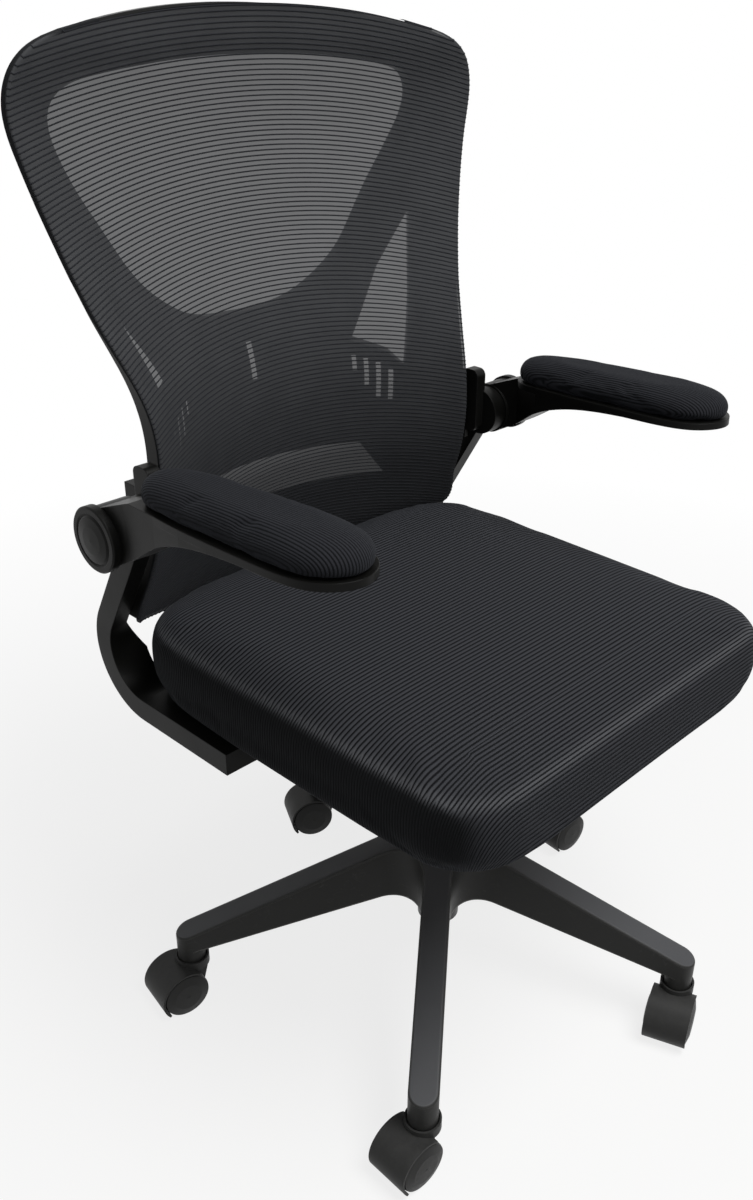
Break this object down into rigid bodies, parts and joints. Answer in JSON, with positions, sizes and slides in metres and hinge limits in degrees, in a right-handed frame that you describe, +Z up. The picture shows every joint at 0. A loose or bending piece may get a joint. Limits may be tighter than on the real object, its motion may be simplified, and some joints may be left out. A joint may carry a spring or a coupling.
{
  "type": "mesh office chair",
  "caption": "Swivel office chair with a see-through mesh back on a moulded frame, ribbed seat cushion, flip-up armrests, tilt mechanism, gas lift and a star base on twin-wheel casters.",
  "frame": {"origin": "on the floor under the swivel column, where the chair stands on its casters", "axes": "+Z up, -Y the way the sitter faces, +X the sitter's left"},
  "size_m": [0.6049, 0.6344, 1.013],
  "materials": {
    "nylon": "satin",
    "wheel_nylon": "satin",
    "steel": "zinc plated",
    "black_steel": "powder coat",
    "cloth": "ribbed weave",
    "mesh_cloth": "ribbed see-through mesh",
    "plywood": "bare"
  },
  "bodies": {
    "base": {"star_base": "nylon", "column_tube": "black_steel", "guide_bush": "nylon", "thrust_bearing": "steel"},
    "caster_1": {"caster_hood_1": "nylon", "caster_stem_1": "steel"},
    "wheels_1": {"caster_wheels_1": "wheel_nylon", "caster_axle_1": "steel"},
    "caster_2": {"caster_hood_2": "nylon", "caster_stem_2": "steel"},
    "wheels_2": {"caster_wheels_2": "wheel_nylon", "caster_axle_2": "steel"},
    "caster_3": {"caster_hood_3": "nylon", "caster_stem_3": "steel"},
    "wheels_3": {"caster_wheels_3": "wheel_nylon", "caster_axle_3": "steel"},
    "caster_4": {"caster_hood_4": "nylon", "caster_stem_4": "steel"},
    "wheels_4": {"caster_wheels_4": "wheel_nylon", "caster_axle_4": "steel"},
    "caster_5": {"caster_hood_5": "nylon", "caster_stem_5": "steel"},
    "wheels_5": {"caster_wheels_5": "wheel_nylon", "caster_axle_5": "steel"},
    "swivel": {"piston_rod": "steel", "rod_clip": "steel"},
    "lift": {"pressure_tube": "steel", "tilt_housing": "black_steel", "tilt_pivot": "steel", "pivot_clips": "steel", "spring_seat": "steel", "tilt_spring": "steel", "lever_pin": "steel"},
    "lever": {"height_lever": "steel", "lever_handle": "nylon"},
    "valve": {"valve_pin": "steel"},
    "knob": {"tension_knob": "nylon"},
    "seat": {"seat_plate": "black_steel", "seat_pan": "plywood", "seat_cushion": "cloth", "plate_bolts": "steel", "support_bolts": "steel", "arm_support_left": "nylon", "arm_support_right": "nylon", "arm_shaft_left": "steel", "arm_shaft_right": "steel", "back_frame": "nylon", "back_mesh": "mesh_cloth", "back_bolts": "steel"},
    "armrest_left": {"arm_left": "nylon", "arm_cap_left": "nylon", "arm_pad_left": "cloth", "pad_screws_left": "steel"},
    "armrest_right": {"arm_right": "nylon", "arm_cap_right": "nylon", "arm_pad_right": "cloth", "pad_screws_right": "steel"}
  },
  "joints": [
    {"name": "caster_1_swivel", "type": "hinge", "parent": "base", "child": "caster_1", "pos_m": [-0.22236, -0.1846, 0.0565], "axis": [0, 0, 1], "continuous": true},
    {"name": "caster_1_roll", "type": "hinge", "parent": "caster_1", "child": "wheels_1", "pos_m": [-0.24234, -0.18391, 0.0265], "axis": [-0.0349, -0.9994, 0], "continuous": true},
    {"name": "caster_2_swivel", "type": "hinge", "parent": "base", "child": "caster_2", "pos_m": [0.10686, -0.26852, 0.0565], "axis": [0, 0, 1], "continuous": true},
    {"name": "caster_2_roll", "type": "hinge", "parent": "caster_2", "child": "wheels_2", "pos_m": [0.08806, -0.27536, 0.0265], "axis": [0.342, -0.9397, 0], "continuous": true},
    {"name": "caster_3_swivel", "type": "hinge", "parent": "base", "child": "caster_3", "pos_m": [0.2884, 0.01865, 0.0565], "axis": [0, 0, 1], "continuous": true},
    {"name": "caster_3_roll", "type": "hinge", "parent": "caster_3", "child": "wheels_3", "pos_m": [0.26847, 0.02039, 0.0265], "axis": [-0.0872, -0.9962, 0], "continuous": true},
    {"name": "caster_4_swivel", "type": "hinge", "parent": "base", "child": "caster_4", "pos_m": [0.07138, 0.28005, 0.0565], "axis": [0, 0, 1], "continuous": true},
    {"name": "caster_4_roll", "type": "hinge", "parent": "caster_4", "child": "wheels_4", "pos_m": [0.05372, 0.28943, 0.0265], "axis": [-0.4695, -0.8829, 0], "continuous": true},
    {"name": "caster_5_swivel", "type": "hinge", "parent": "base", "child": "caster_5", "pos_m": [-0.24428, 0.15443, 0.0565], "axis": [0, 0, 1], "continuous": true},
    {"name": "caster_5_roll", "type": "hinge", "parent": "caster_5", "child": "wheels_5", "pos_m": [-0.26398, 0.1579, 0.0265], "axis": [-0.1736, -0.9848, 0], "continuous": true},
    {"name": "seat_swivel", "type": "hinge", "parent": "base", "child": "swivel", "pos_m": [0, 0, 0.066], "axis": [0, 0, 1], "continuous": true},
    {"name": "gas_lift", "type": "slide", "parent": "swivel", "child": "lift", "axis": [0, 0, 1], "range_m": [-0.03, 0.07]},
    {"name": "height_lever", "type": "hinge", "parent": "lift", "child": "lever", "pos_m": [-0.033, 0, 0.34635], "axis": [0, 1, 0], "range_deg": [0, 4], "stiffness_Nm_per_rad": 8, "springref_deg": -4.58},
    {"name": "valve_press", "type": "slide", "parent": "lift", "child": "valve", "axis": [0, 0, -1], "range_m": [0, 0.0025]},
    {"name": "tension_knob", "type": "hinge", "parent": "lift", "child": "knob", "pos_m": [0, 0.0515, 0.306], "axis": [0, 0, 1], "range_deg": [-720, 720]},
    {"name": "seat_tilt", "type": "hinge", "parent": "lift", "child": "seat", "pos_m": [0, -0.07, 0.358], "axis": [-1, 0, 0], "range_deg": [0, 12], "stiffness_Nm_per_rad": 180, "springref_deg": -20.05, "deforming": ["tilt_spring"]},
    {"name": "armrest_left_flip", "type": "hinge", "parent": "seat", "child": "armrest_left", "pos_m": [0.25, 0.169, 0.588], "axis": [-1, 0, 0], "range_deg": [0, 70]},
    {"name": "armrest_right_flip", "type": "hinge", "parent": "seat", "child": "armrest_right", "pos_m": [-0.25, 0.169, 0.588], "axis": [-1, 0, 0], "range_deg": [0, 70]}
  ],
  "couplings": [
    {"joint": "valve_press", "follows": "height_lever", "m_per_rad": 0.033}
  ]
}
